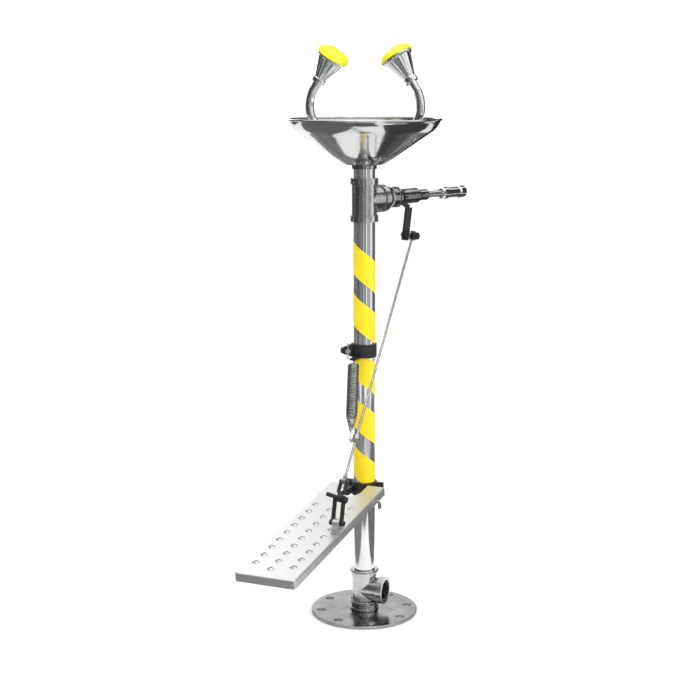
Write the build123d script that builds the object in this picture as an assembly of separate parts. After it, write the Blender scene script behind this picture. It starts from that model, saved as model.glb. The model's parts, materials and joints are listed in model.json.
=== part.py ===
from build123d import *
import os
from math import cos, radians, sin

# Pedestal eyewash station with a foot treadle, a side ball valve and a drained bowl.
# +Z is up, the origin is the centre of the base flange's underside, and the user stands at -Y.
# All sizes are in millimetres and all angles in degrees.

# ---------------------------------------------------------------- fits
FIT = 0.05            # radial gap of a fixed joint, such as a pipe in its socket
RUN = 0.09            # radial gap of a pin or shaft that turns
GAP = 0.5             # open gap between pieces that move past each other

# ---------------------------------------------------------------- pipe and tees
PIPE_R = 21.2         # 1 1/4 inch pipe
PIPE_WALL = 2.8
SOCKET_DEPTH = 16
TEE_HALF = 42
TEE_R = PIPE_R + 3.3
TEE_BAND_R = PIPE_R + 6
TEE_BAND = 12
DRAIN_REACH = PIPE_R + 24.8
SUPPLY_REACH = PIPE_R + 28.8
SUPPLY_Z = 835        # height of the supply branch
FLOW_AZIMUTH = 68     # direction of the supply branch, from +X towards +Y

# ---------------------------------------------------------------- base
BASE_R = 107
BASE_T = 6
BOLT_PCD = 176
BOLT_HOLE_D = 18
BOLT_COUNT = 8
BOLT_START = 32

# ---------------------------------------------------------------- bowl
RIM_Z = 988
BOWL_R = 147
BOWL_DEPTH = 85
BOWL_FLOOR_R = 39.5
# wall of the bowl above its floor, as shares of its radius and depth
BOWL_WALL = ((0.473, 0.24), (0.67, 0.476), (0.8, 0.63), (0.912, 0.765), (0.972, 0.895), (1, 1))
BOWL_T = 1.2
RIM_BEAD_R = 2.2
WASTE_FLANGE_R = PIPE_R + 11.8
WASTE_FLANGE_T = 2.5
GASKET_R = PIPE_R + 4.8
GASKET_T = 1.5
LOCKNUT_R = PIPE_R + 3
LOCKNUT_T = 7
LOCKNUT_SLOT = 5
STRAINER_T = 1.5
STRAINER_HOLES = 10
STRAINER_HOLE_D = 4.5

# ---------------------------------------------------------------- water way and spray heads
RISER_R = 8.5
RISER_WALL = 1.5
MANIFOLD_Z = 948
MANIFOLD_R = 17
MANIFOLD_H = 26
ARM_R = 8.25
ARM_WALL = 1.2
ARM_NUT_R = 12
ARM_NUT_L = 12
ARM_TURN_X = 84       # where the arm leaves the level and climbs
ARM_WIDE_X = 121      # where the arm turns inwards again
ARM_RISE = 57
ARM_BENDS = (28, 58, 30)
HEAD_X = 95           # centre of the head's lower end
HEAD_Z = 1062
HEAD_LEAN = 33        # lean of the head towards the middle
HEAD_COLLAR_R = 13
HEAD_COLLAR_L = 9
HEAD_R = 29.5
HEAD_L = 54
HEAD_WALL = 1.5
HEAD_BAND = 6
SCREEN_T = 1.0
PLATE_T = 2.0
CAP_R = 31
CAP_H = 17
CAP_SKIRT = 3
CAP_WALL = 1.6
CAP_LIFT = 30

# ---------------------------------------------------------------- supply train, along the flow from the pole
BUSH_END = 56
UNION_R = 20.5
UNION_START = 64
UNION_END = 91
UNION_GRIP = 8        # length of the union's end inside the valve
VALVE_START = 98
VALVE_END = 138
VALVE_R = 15
BALL_R = 10
PORT_R = 6
STEM_R = 4
BONNET_R = 9
BONNET_S = 24
PACKING_S = 33
BALL_FLAT = 9
TONGUE = (4, 8, 2)
BALL_SHUT = 78        # turn of the ball's port away from the flow while the lever hangs
END_CAP_END = 146
ADAPTER_END = 176
ADAPTER_R = 11
ADAPTER_TAIL_R = 8
INLET_PIPE_R = 6.5
INLET_PIPE_END = 232
COUPLING_START = 222
COUPLING_END = 289
COUPLING_R = 10.5
COUPLING_RING_R = 12.2
INLET_R = 9.3
INLET_DEPTH = 16

# ---------------------------------------------------------------- lever and its bolt
LEVER_S = 43          # plane of the lever, measured from the flow line along the stem
LEVER_T = 4
LEVER_HUB_R = 11
LEVER_W = 18
LEVER_NECK = 9
LEVER_DROP = 84       # stem to rod bolt, down
LEVER_OUT = 45        # stem to rod bolt, away from the pole
LEVER_TAIL = 11
LEVER_KNEE = (54, 28)  # upper end of the broad arm, outwards and down
BOLT_R = 4
EYE_S = 23            # place of the rod's eye along the stem direction
EYE_CLEAR = 2.8
EYE_T = 5
EYE_WALL = 3.4
EYE_PLAY = 2          # free play of the eye along the bolt, each way
WASHER_R = 7.6
WASHER_T = 1.5

# ---------------------------------------------------------------- treadle
PEDAL_FAR_Y = -(PIPE_R + 15.8)
PEDAL_FAR_Z = 275
PEDAL_TILT = 7.9
PEDAL_L = 415
PEDAL_W = 117
PEDAL_T = 2
PEDAL_SKIRT = 16
PEDAL_CORNER_R = 6
NOTCH_W = 2 * PIPE_R + 3.6
NOTCH_DEPTH = 57
BUMP_ROWS = (-40, -3, 34)
BUMP_PITCH = 32
BUMP_START = 110
BUMP_COUNT = 9
BUMP_R = 6.5
BUMP_H = 2.2
BUMP_HOLE_R = 3
PIVOT_BACK = 47.5     # pivot, from the treadle's far edge
PIVOT_DROP = 9        # pivot, below the treadle's top
PIVOT_R = 3.5
PIVOT_TAIL = 10       # bent end of the pivot rod
PIVOT_OUT = 12        # how far the bent end stands out of the skirt

# ---------------------------------------------------------------- hinge clamp on the pole
CLAMP_T = 4
CLAMP_H = 26
CLAMP_Z = 260
EAR_X = 15
EAR_T = 4
EAR_R = 6.5
FLANGE_OUT = 15
FLANGE_T = 4
CLAMP_BOLT_R = 3

# ---------------------------------------------------------------- rod, fork and bracket
FORK_PIN = (48, -232, 306)
FORK_PIN_R = 4
PIN_TILT = 11.7       # slope of the fork pin, which keeps the rod in the lever's plane
PIN_HEAD_R = 6
FORK_HUB_R = 7.5
FORK_HUB_W = 8
LINK_T = 4
LINK_GAP = 13
LINK_W = 11
LUG_BACK = 206        # lug, from the treadle's far edge
LUG_BOLT_Z = 15
LUG_L = 20
LUG_H = 23
LUG_FOOT = (13.6, 32, 2.5)
PIN_LEFT = 26
PIN_RIGHT = 15.5
ROD_R = 2.4
FORK_L = 34           # fork pin to cross pin
FORK_SPLIT = 13       # height where the fork's arms part
FORK_ARM_T = 3.5
FORK_ARM_W = 9
FORK_GAP = 8
CROSS_PIN_R = 2.5
ROD_END_R = 5.5
ROD_NUT_R = 5
HOOK_ALONG = 0.20     # place of the spring's hook on the rod, as a share of its length
COLLAR_R = 7
COLLAR_L = 9
COLLAR_GAP = 1.6      # room for the ring to tip under the collar

# ---------------------------------------------------------------- return spring and its clamp
SPRING_CLAMP_Z = 540
SPRING_CLAMP_H = 26
SPRING_CLAMP_T = 3
SPRING_EAR_AZIMUTH = 215
SPRING_EAR_L = 22
SPRING_EAR_TIP = 9    # height of the ears at their ends
SPRING_SPLIT = 4      # gap between the ears
SPRING_TOP = (-3, -(PIPE_R + 24.8), 527)
SPRING_R = 11
SPRING_TIP_R = 2.2
SPRING_COIL_SHARE = 0.72
SPRING_LUG_W = 12
SPRING_LUG_T = 4
LINK_RING_R = 5.6
LINK_WIRE_R = 1.2

# ---------------------------------------------------------------- warning tape
TAPE_T = 0.3
TAPE_PITCH = 101
TAPE_TURNS = 5
TAPE_WIDTH = 62
TAPE_FOOT = 249.5     # middle of the strip at its lower end
TAPE_BACK = 113       # direction of both ends, behind the pole

PIPE_BORE = PIPE_R - PIPE_WALL
DRAIN_Z = BASE_T + TEE_HALF
BOWL_Z = RIM_Z - BOWL_DEPTH
FLOW = Vector(cos(radians(FLOW_AZIMUTH)), sin(radians(FLOW_AZIMUTH)), 0)
STEM = Vector(-FLOW.Y, FLOW.X, 0)
UP = Vector(0, 0, 1)
VALVE_MID = (VALVE_START + VALVE_END) / 2
VALVE_AT = FLOW * VALVE_MID + UP * SUPPLY_Z
EYE_AT = VALVE_AT + STEM * EYE_S + FLOW * LEVER_OUT - UP * LEVER_DROP
FORK_AT = Vector(*FORK_PIN)
ROD_WAY = (EYE_AT - FORK_AT).normalized()
ROD_L = (EYE_AT - FORK_AT).length


# ---------------------------------------------------------------- helpers
def turned(points):
    """Solid of revolution about Z from (radius, height) points."""
    outline = Polyline(*[(r, 0, z) for r, z in points], close=True)
    return revolve(make_face(outline), Axis.Z)


def disc(radius, low, high):
    """Round bar about Z between two heights."""
    return Pos(0, 0, (low + high) / 2) * Cylinder(radius, high - low)


def ring(outer, inner, low, high):
    """Round tube about Z between two heights."""
    return disc(outer, low, high) - disc(inner, low - 1, high + 1)


def hexagon(radius, inner, low, high):
    """Hexagon nut about Z with a plain bore; radius is to its corners."""
    nut = Pos(0, 0, low) * extrude(RegularPolygon(radius, 6), high - low)
    return nut - disc(inner, low - 1, high + 1)


def box(x, y, z):
    """Block between low and high values on each axis."""
    size = (x[1] - x[0], y[1] - y[0], z[1] - z[0])
    return Pos((x[0] + x[1]) / 2, (y[0] + y[1]) / 2, (z[0] + z[1]) / 2) * Box(*size)


def flow_place():
    """Place whose Z runs out along the supply branch, and whose X runs along the stem."""
    return Plane(origin=(0, 0, SUPPLY_Z), x_dir=STEM, z_dir=FLOW).location


def stem_place():
    """Place at the valve's centre whose Z runs along the stem, and whose X follows the flow."""
    return Plane(origin=VALVE_AT, x_dir=FLOW, z_dir=STEM).location


def rod_place():
    """Place at the fork pin whose Z runs up the rod; its X is square to the rod, near +X."""
    across = (Vector(1, 0, 0) - ROD_WAY * ROD_WAY.X).normalized()
    return Plane(origin=FORK_AT, x_dir=across, z_dir=ROD_WAY).location


def treadle_place():
    """Place on the far edge of the treadle's top; its -Y runs down the treadle."""
    return Pos(0, PEDAL_FAR_Y, PEDAL_FAR_Z) * Rot(PEDAL_TILT, 0, 0)


def head_place(side):
    """Place at the lower end of a spray head whose Z leans towards the middle."""
    return Pos(side * HEAD_X, 0, HEAD_Z) * Rot(0, -side * HEAD_LEAN, 0)


def pin_place():
    """Place at the middle of the fork pin whose Z runs along the pin to the right."""
    return Pos(FORK_AT) * Rot(0, 90 + PIN_TILT, 0)


def pivot_point():
    """Centre of the treadle's pivot."""
    return (treadle_place() * Pos(0, -PIVOT_BACK, -PIVOT_DROP)).position


def bent_tube(path, outer, inner):
    """Round tube along a path of straight runs and tangent arcs."""
    plane = Plane(origin=path @ 0, z_dir=path % 0)
    return sweep(plane * (Circle(outer) - Circle(inner)), path=path)


# ---------------------------------------------------------------- base and drain
def base_flange():
    """Round floor plate with its bolt holes and the pipe stub welded on it."""
    plate = disc(BASE_R, 0, BASE_T)
    plate = chamfer(plate.edges().filter_by(GeomType.CIRCLE).group_by(Axis.Z)[-1], 0.8)
    plate += ring(PIPE_R, PIPE_BORE, BASE_T, BASE_T + SOCKET_DEPTH)
    spots = PolarLocations(BOLT_PCD / 2, BOLT_COUNT, start_angle=BOLT_START)
    return plate - [spot * Cylinder(BOLT_HOLE_D / 2, 3 * BASE_T) for spot in spots]


def tee(reach, bore, azimuth, height):
    """Banded tee with three sockets; the branch points along the azimuth."""
    run = disc(TEE_R, -TEE_HALF, TEE_HALF)
    for low in (-TEE_HALF, TEE_HALF - TEE_BAND):
        run += disc(TEE_BAND_R, low, low + TEE_BAND)
    branch = disc(TEE_R, 0, reach) + disc(TEE_BAND_R, reach - TEE_BAND, reach)
    body = run + Rot(0, 90, 0) * branch
    socket = PIPE_R + FIT
    hollow = disc(bore, -TEE_HALF - 1, TEE_HALF + 1)
    hollow += disc(socket, -TEE_HALF - 1, -TEE_HALF + SOCKET_DEPTH)
    hollow += disc(socket, TEE_HALF - SOCKET_DEPTH, TEE_HALF + 1)
    mouth = disc(bore, 0, reach + 1) + disc(socket, reach - SOCKET_DEPTH, reach + 1)
    hollow += Rot(0, 90, 0) * mouth
    return Pos(0, 0, height) * Rot(0, 0, azimuth) * (body - hollow)


def drain_tee():
    return tee(DRAIN_REACH, PIPE_BORE, 0, DRAIN_Z)


def main_pipe():
    low = DRAIN_Z + TEE_HALF - SOCKET_DEPTH
    high = SUPPLY_Z - TEE_HALF + SOCKET_DEPTH
    return ring(PIPE_R, PIPE_BORE, low, high)


def supply_tee():
    return tee(SUPPLY_REACH, PIPE_BORE, FLOW_AZIMUTH, SUPPLY_Z)


def marking_tape():
    """Strip of tape wound down the pole in one helix, trimmed above the hinge clamp."""
    helix = Helix(pitch=TAPE_PITCH, height=TAPE_TURNS * TAPE_PITCH, radius=PIPE_R + FIT + TAPE_T / 2)
    section = Plane(origin=helix @ 0, x_dir=(1, 0, 0), z_dir=(0, 1, 0)) * Rectangle(TAPE_T, TAPE_WIDTH)
    strip = mirror(sweep(section, path=helix, is_frenet=True), Plane.XZ)
    strip = Pos(0, 0, TAPE_FOOT) * Rot(0, 0, TAPE_BACK) * strip
    return strip - disc(2 * PIPE_R, 0, CLAMP_Z + CLAMP_H / 2 + GAP)


# ---------------------------------------------------------------- bowl
def bowl_solid(inset):
    """The bowl filled up to its rim, drawn in by the given amount."""
    line = [Vector(BOWL_FLOOR_R, 0, 0)]
    line += [Vector(share * BOWL_R, 0, rise * BOWL_DEPTH) for share, rise in BOWL_WALL]
    spans = zip(line[:1] + line[:-1], line[1:] + line[-1:])
    ways = [(after - before).normalized() for before, after in spans]
    line = [spot + Vector(-way.Z, 0, way.X) * inset for spot, way in zip(line, ways)]
    line[0] = Vector(BOWL_FLOOR_R, 0, inset)
    floor = Polyline((0, 0, inset), line[0], line[1])
    wall = Spline(*line[1:], tangents=[line[1] - line[0], ways[-1]])
    close = Polyline(line[-1], (0, 0, BOWL_DEPTH + inset), (0, 0, inset))
    return Pos(0, 0, BOWL_Z) * revolve(make_face(floor + wall + close), Axis.Z)


def bowl():
    """Spun bowl with a flat floor, a conical wall and a rolled bead at its rim."""
    bead = Pos(0, 0, RIM_Z) * Torus(BOWL_R, RIM_BEAD_R)
    return bowl_solid(0) - bowl_solid(BOWL_T) + bead - disc(PIPE_R + FIT, BOWL_Z - BOWL_T, BOWL_Z + 2 * BOWL_T)


def bowl_waste():
    low = SUPPLY_Z + TEE_HALF - SOCKET_DEPTH
    seat = BOWL_Z + BOWL_T
    tail = ring(PIPE_R, PIPE_BORE, low, seat + WASTE_FLANGE_T)
    return tail + ring(WASTE_FLANGE_R, PIPE_BORE, seat, seat + WASTE_FLANGE_T)


def bowl_gasket():
    return ring(GASKET_R, PIPE_R + FIT, BOWL_Z - GASKET_T, BOWL_Z)


def bowl_locknut():
    """Slim ring nut under the bowl with four slots for a spanner."""
    high = BOWL_Z - GASKET_T
    nut = ring(LOCKNUT_R, PIPE_R + FIT, high - LOCKNUT_T, high)
    slot = Pos(0, 0, high - LOCKNUT_T / 2) * Box(LOCKNUT_SLOT / 2, LOCKNUT_SLOT, LOCKNUT_T)
    return nut - [spot * slot for spot in PolarLocations(LOCKNUT_R, 4)]


def drain_strainer():
    high = BOWL_Z + BOWL_T + WASTE_FLANGE_T
    plate = ring(PIPE_BORE - FIT, RISER_R + FIT, high - STRAINER_T, high)
    middle = (PIPE_BORE + RISER_R) / 2
    return plate - [spot * Cylinder(STRAINER_HOLE_D / 2, 3000) for spot in PolarLocations(middle, STRAINER_HOLES)]


# ---------------------------------------------------------------- water way
def supply_riser():
    """Tube from the branch bush to the middle of the tee and up to the manifold."""
    start = FLOW * (SUPPLY_REACH - SOCKET_DEPTH + 2) + UP * SUPPLY_Z
    corner = UP * SUPPLY_Z
    end = UP * (MANIFOLD_Z - MANIFOLD_H / 2 + 6)
    path = FilletPolyline(start, corner, end, radius=1.6 * RISER_R)
    return bent_tube(path, RISER_R, RISER_R - RISER_WALL)


def nozzle_manifold():
    low = MANIFOLD_Z - MANIFOLD_H / 2
    high = MANIFOLD_Z + MANIFOLD_H / 2
    body = turned([(0, low), (MANIFOLD_R, low), (MANIFOLD_R, high - 4), (MANIFOLD_R - 6, high), (0, high)])
    body += Pos(0, 0, MANIFOLD_Z) * Rot(0, 90, 0) * Cylinder(ARM_R + 4, 2 * MANIFOLD_R + 8)
    hollow = disc(RISER_R + FIT, low - 1, low + 6) + disc(RISER_R - RISER_WALL, low, MANIFOLD_Z)
    cross = Rot(0, 90, 0) * Cylinder(ARM_R - ARM_WALL, 2 * MANIFOLD_R)
    for side in (-1, 1):
        cross += Pos(side * (MANIFOLD_R + 2), 0, 0) * Rot(0, 90, 0) * Cylinder(ARM_R + FIT, 14)
    return body - hollow - Pos(0, 0, MANIFOLD_Z) * cross


def arm_path(side):
    """Centre line of a spray arm, from the manifold out past the rim and up into its head."""
    tip = (head_place(side) * Pos(0, 0, 4)).position
    below = (head_place(side) * Pos(0, 0, -26)).position
    points = [
        (side * (MANIFOLD_R - 4), 0, MANIFOLD_Z),
        (side * ARM_TURN_X, 0, MANIFOLD_Z),
        (side * ARM_WIDE_X, 0, MANIFOLD_Z + ARM_RISE),
        (below.X, 0, below.Z),
        (tip.X, 0, tip.Z),
    ]
    return FilletPolyline(*points, radius=ARM_BENDS)


def nozzle_arm(side):
    return bent_tube(arm_path(side), ARM_R, ARM_R - ARM_WALL)


def arm_nuts():
    """The two nuts that hold the arms to the manifold."""
    nut = hexagon(ARM_NUT_R, ARM_R + FIT, 0, ARM_NUT_L)
    start = MANIFOLD_R + 4 + FIT
    right = Pos(start, 0, MANIFOLD_Z) * Rot(0, 90, 0) * nut
    left = Pos(-start, 0, MANIFOLD_Z) * Rot(0, -90, 0) * nut
    return right + left


def nozzle_cone(side):
    """Chromed cone of a spray head, hollow, with a socket for the arm and a band at its mouth."""
    band = HEAD_L - HEAD_BAND
    socket = ARM_R + FIT
    mouth = HEAD_R - HEAD_WALL
    outline = [
        (socket, -HEAD_COLLAR_L / 2),
        (HEAD_COLLAR_R, -HEAD_COLLAR_L / 2),
        (HEAD_COLLAR_R, HEAD_COLLAR_L / 2),
        (HEAD_COLLAR_R - 1.5, HEAD_COLLAR_L / 2 + 1),
        (HEAD_R - 3, band - 1),
        (HEAD_R, band),
        (HEAD_R, HEAD_L),
        (mouth, HEAD_L),
        (mouth, band + 1),
        (HEAD_R - 5, band),
        (ARM_R - ARM_WALL, HEAD_COLLAR_L / 2 + 2),
        (socket, HEAD_COLLAR_L / 2 + 1),
    ]
    return head_place(side) * turned(outline)


def pierced_disc(low, high, hole_r, rings):
    """Disc for the head's mouth with rings of holes, given as (radius, count) pairs."""
    plate = disc(HEAD_R - HEAD_WALL - FIT, low, high)
    for radius, count in rings:
        plate -= [spot * Cylinder(hole_r, 300) for spot in PolarLocations(radius, count)]
    return plate


def filter_screens():
    low = HEAD_L - HEAD_BAND + 1
    screen = pierced_disc(low, low + SCREEN_T, 1.6, ((8, 6), (15, 12), (22, 18)))
    return Compound(children=[head_place(side) * screen for side in (-1, 1)])


def spray_plates():
    low = HEAD_L - HEAD_BAND + 1 + SCREEN_T
    plate = pierced_disc(low, low + PLATE_T, 1.3, ((7, 6), (14, 10), (21, 14)))
    return Compound(children=[head_place(side) * plate for side in (-1, 1)])


def dust_cap(side):
    """Domed yellow cap that lies on the head's mouth and drops a short skirt round it."""
    seat = HEAD_L + GAP
    inner = HEAD_R + GAP
    rise = CAP_H - CAP_SKIRT
    outline = [
        (inner, seat - CAP_SKIRT),
        (CAP_R + 1.2, seat - CAP_SKIRT),
        (CAP_R + 1.2, seat),
        (CAP_R * 0.93, seat + rise * 0.5),
        (CAP_R * 0.72, seat + rise * 0.85),
        (CAP_R * 0.4, seat + rise),
        (0, seat + rise),
        (0, seat + rise - CAP_WALL),
        (CAP_R * 0.4, seat + rise - CAP_WALL),
        (CAP_R * 0.68, seat + rise * 0.85 - CAP_WALL),
        (CAP_R * 0.86, seat + rise * 0.4),
        (CAP_R * 0.9, seat),
        (inner, seat),
    ]
    return head_place(side) * turned(outline)


# ---------------------------------------------------------------- supply train
def branch_bush():
    low = SUPPLY_REACH - SOCKET_DEPTH
    bush = ring(PIPE_R, RISER_R + FIT, low, SUPPLY_REACH)
    return flow_place() * (bush + hexagon(TEE_BAND_R - 1, RISER_R + FIT, SUPPLY_REACH + FIT, BUSH_END) +
                           ring(PIPE_R, RISER_R + FIT, SUPPLY_REACH - 1, BUSH_END))


def union_tail():
    high = UNION_END - 12
    tail = ring(RISER_R, RISER_R - 2, SUPPLY_REACH - 10, high)
    return flow_place() * (tail + ring(UNION_R - 4, RISER_R - 2, high - 5, high) + ring(13, RISER_R - 2, BUSH_END, UNION_START))


def union_end():
    low = UNION_END - 12 + FIT
    flange = ring(UNION_R - 4, RISER_R - 2, low, low + 6)
    return flow_place() * (flange + ring(12, RISER_R - 2, low, VALVE_START + UNION_GRIP))


def union_nut():
    """Ring nut that draws the union's two faces together."""
    high = UNION_END
    body = turned([
        (13 + FIT, UNION_START), (UNION_R - 2, UNION_START), (UNION_R, UNION_START + 3),
        (UNION_R, UNION_START + 8), (UNION_R - 1.6, UNION_START + 9), (UNION_R - 1.6, high - 7),
        (UNION_R, high - 6), (UNION_R, high - 2), (UNION_R - 2, high), (UNION_R - 4 + FIT, high),
        (UNION_R - 4 + FIT, UNION_END - 17 - FIT), (13 + FIT, UNION_END - 17 - FIT),
    ])
    return flow_place() * body


def valve_body():
    """Ball valve body: a turned barrel with hexagon ends and a bonnet for the stem."""
    body = disc(VALVE_R, VALVE_START + 4, VALVE_END)
    body += Pos(0, 0, VALVE_START) * extrude(RegularPolygon(VALVE_R + 1, 6), 10)
    bonnet = stem_place() * disc(BONNET_R, 0, BONNET_S)
    hollow = disc(12 + FIT, VALVE_START - 1, VALVE_START + UNION_GRIP)
    hollow += disc(PORT_R, VALVE_START, VALVE_END + 1)
    hollow += disc(BALL_R + 2, VALVE_MID - BALL_R - 1, VALVE_END + 1)
    solid = flow_place() * body + bonnet - flow_place() * hollow
    return solid - stem_place() * (disc(STEM_R + RUN, 0, BONNET_S + 1) + disc(STEM_R + 2.5, BONNET_S - 8, BONNET_S + 1))


def valve_seals():
    """The ring seats on each side of the ball and the packing round the stem."""
    low = ring(BALL_R + 2 - FIT, PORT_R, VALVE_MID - BALL_R - 1, VALVE_MID - 5)
    high = ring(BALL_R + 2 - FIT, PORT_R, VALVE_MID + 5, VALVE_MID + BALL_R + 1)
    ball = Pos(0, 0, VALVE_MID) * Sphere(BALL_R + RUN)
    packing = stem_place() * ring(STEM_R + 2.4, STEM_R + RUN, BONNET_S - 8, BONNET_S - 4)
    return Compound(children=[flow_place() * (low - ball), flow_place() * (high - ball), packing])


def valve_end_cap():
    low = VALVE_MID + BALL_R + 1 + FIT
    cap = ring(BALL_R + 2 - FIT, PORT_R, low, VALVE_END)
    cap += ring(VALVE_R, ADAPTER_TAIL_R + FIT, VALVE_END, END_CAP_END)
    return flow_place() * cap


def packing_nut():
    nut = hexagon(BONNET_R, STEM_R + RUN, BONNET_S, PACKING_S) + ring(STEM_R + 2.4, STEM_R + RUN, BONNET_S - 4, BONNET_S)
    return stem_place() * nut


def valve_ball():
    """Ball with its port turned across the flow, and a slot for the stem's tongue."""
    port = Rot(0, 0, BALL_SHUT) * Rot(0, 90, 0) * Cylinder(PORT_R, 4 * BALL_R)
    width, length, depth = (size + 2 * FIT for size in TONGUE)
    slot = Pos(0, 0, BALL_FLAT) * Box(width, length, 2 * depth)
    flat = disc(BALL_R, BALL_FLAT, BALL_R + 1)
    return stem_place() * (Sphere(BALL_R) - port - slot - flat)


def valve_stem():
    """Stem from the ball's slot, out through the bonnet and the lever's hub to its nut."""
    width, length, depth = TONGUE
    tongue = box((-width / 2, width / 2), (-STEM_R + 0.5, STEM_R - 0.5), (BALL_FLAT - depth, BALL_FLAT + 2))
    return stem_place() * (disc(STEM_R, BALL_FLAT + FIT, LEVER_S + LEVER_T / 2 + 8) + tongue)


def inlet_adapter():
    tail = disc(ADAPTER_TAIL_R, VALVE_END + 1, END_CAP_END + 2)
    body = Pos(0, 0, END_CAP_END + FIT) * extrude(RegularPolygon(ADAPTER_R + 1, 6), 9)
    body += disc(ADAPTER_R, END_CAP_END + FIT, ADAPTER_END)
    bore = disc(5, VALVE_END, ADAPTER_END) + disc(INLET_PIPE_R + FIT, ADAPTER_END - 16, ADAPTER_END + 1)
    return flow_place() * (tail + body - bore)


def inlet_pipe():
    return flow_place() * ring(INLET_PIPE_R, 5, ADAPTER_END - 16, INLET_PIPE_END)


def inlet_coupling():
    """Supply coupling with a bead at each end and a female thread in its mouth."""
    body = turned([
        (0, COUPLING_START), (INLET_PIPE_R + 3, COUPLING_START), (COUPLING_RING_R, COUPLING_START + 3),
        (COUPLING_RING_R, COUPLING_START + 15), (COUPLING_R, COUPLING_START + 18),
        (COUPLING_R, COUPLING_END - 18), (COUPLING_RING_R, COUPLING_END - 14),
        (COUPLING_RING_R, COUPLING_END), (0, COUPLING_END),
    ])
    hollow = disc(INLET_PIPE_R + FIT, COUPLING_START - 1, INLET_PIPE_END)
    hollow += disc(5, COUPLING_START, COUPLING_END) + disc(INLET_R, COUPLING_END - INLET_DEPTH, COUPLING_END + 1)
    return flow_place() * (body - hollow)


# ---------------------------------------------------------------- lever
def lever_arm():
    """Flat bent lever: a hub on the stem, a neck out over the valve and a broad hanging arm."""
    knee = Vector(*LEVER_KNEE, 0)
    foot = Vector(LEVER_OUT, LEVER_DROP, 0)
    way = (foot - knee).normalized()
    side = Vector(-way.Y, way.X, 0) * (LEVER_W / 2)
    low = foot + way * LEVER_TAIL
    arm = make_face(Polyline(knee + side, low + side, low - side, knee - side, close=True))
    neck_way = knee.normalized()
    neck_side = Vector(-neck_way.Y, neck_way.X, 0) * (LEVER_NECK / 2)
    neck = make_face(Polyline(neck_side, knee + neck_side, knee - neck_side, -neck_side, close=True))
    plate = extrude(arm, LEVER_T) + extrude(neck, LEVER_T) + disc(LEVER_HUB_R, 0, LEVER_T)
    plate = fillet(plate.edges().filter_by(Axis.Z).group_by(Axis.Y)[-1], 3)
    plate -= disc(STEM_R + FIT, -1, LEVER_T + 1) + Pos(foot) * disc(BOLT_R + FIT, -1, LEVER_T + 1)
    return stem_place() * Pos(0, 0, LEVER_S - LEVER_T / 2) * plate


def bolt_place():
    """Place on the stem's plane whose Z is the rod bolt's axis."""
    return stem_place() * Pos(LEVER_OUT, LEVER_DROP, 0)


def rod_bolt():
    """Bolt that carries the rod's eye, with its head behind the lever."""
    back = LEVER_S + LEVER_T / 2
    head = Pos(0, 0, back) * extrude(RegularPolygon(7.5, 6), 5)
    return bolt_place() * (disc(BOLT_R, EYE_S - EYE_T / 2 - 14, back) + head)


def lever_spacers():
    """Sleeve between the packing nut and the lever's hub, and the sleeve on the rod bolt."""
    hub = ring(7, STEM_R + FIT, PACKING_S + GAP, LEVER_S - LEVER_T / 2)
    foot = EYE_S + EYE_T / 2 + EYE_PLAY + WASHER_T
    sleeve = ring(WASHER_R, BOLT_R + FIT, foot, LEVER_S - LEVER_T / 2)
    return Compound(children=[stem_place() * hub, bolt_place() * sleeve])


def bolt_washers():
    upper = EYE_S + EYE_T / 2 + EYE_PLAY
    lower = EYE_S - EYE_T / 2 - EYE_PLAY - WASHER_T
    near = ring(WASHER_R, BOLT_R + FIT, upper, upper + WASHER_T)
    far = ring(WASHER_R, BOLT_R + FIT, lower, lower + WASHER_T)
    return bolt_place() * Compound(children=[near, far])


def lever_nuts():
    """Nut on the stem over the lever's hub, and the nut on the rod bolt."""
    hub = LEVER_S + LEVER_T / 2
    end = EYE_S - EYE_T / 2 - EYE_PLAY - WASHER_T
    on_stem = stem_place() * hexagon(8, STEM_R + FIT, hub, hub + 6)
    on_bolt = bolt_place() * hexagon(8, BOLT_R + FIT, end - 7, end)
    return Compound(children=[on_stem, on_bolt])


# ---------------------------------------------------------------- treadle
def pedal_plate():
    """Pressed tread with skirts on three sides, a notch at the pole and rows of pierced bumps."""
    half = PEDAL_W / 2
    outer = box((-half, half), (-PEDAL_L, 0), (-PEDAL_SKIRT, 0))
    outer = fillet(outer.edges().filter_by(Axis.Z).group_by(Axis.Y)[0], PEDAL_CORNER_R)
    outer = fillet(outer.faces().sort_by(Axis.Z)[-1].edges().sort_by(Axis.Y)[:-1], 2.5)
    inner = box((-half + PEDAL_T, half - PEDAL_T), (-PEDAL_L + PEDAL_T, 1), (-PEDAL_SKIRT - 1, -PEDAL_T))
    inner = fillet(inner.edges().filter_by(Axis.Z).group_by(Axis.Y)[0], PEDAL_CORNER_R - PEDAL_T)
    plate = outer - inner
    back = NOTCH_DEPTH - NOTCH_W / 2
    notch = box((-NOTCH_W / 2, NOTCH_W / 2), (-back, 1), (-PEDAL_T - 1, 1))
    notch += Pos(0, -back, 0) * Cylinder(NOTCH_W / 2, 2 * PEDAL_T + 2)
    plate -= notch
    pivot = Pos(0, -PIVOT_BACK, -PIVOT_DROP) * Rot(0, 90, 0) * Cylinder(PIVOT_R + RUN, PEDAL_W + 2)
    plate -= pivot
    boss = Cone(BUMP_R, BUMP_HOLE_R + 1.2, BUMP_H)
    for spot in bump_spots():
        plate += Pos(*spot, BUMP_H / 2) * boss
    for spot in bump_spots():
        plate -= Pos(*spot, 0) * Cylinder(BUMP_HOLE_R, 20)
    return treadle_place() * plate


def bump_spots():
    """Centres of the bumps; the middle row is set half a pitch towards the near end."""
    spots = []
    for row, x in enumerate(BUMP_ROWS):
        start = BUMP_START + (BUMP_PITCH / 2 if row == 1 else 0)
        spots += [(x, -start - step * BUMP_PITCH) for step in range(BUMP_COUNT)]
    return spots


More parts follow.
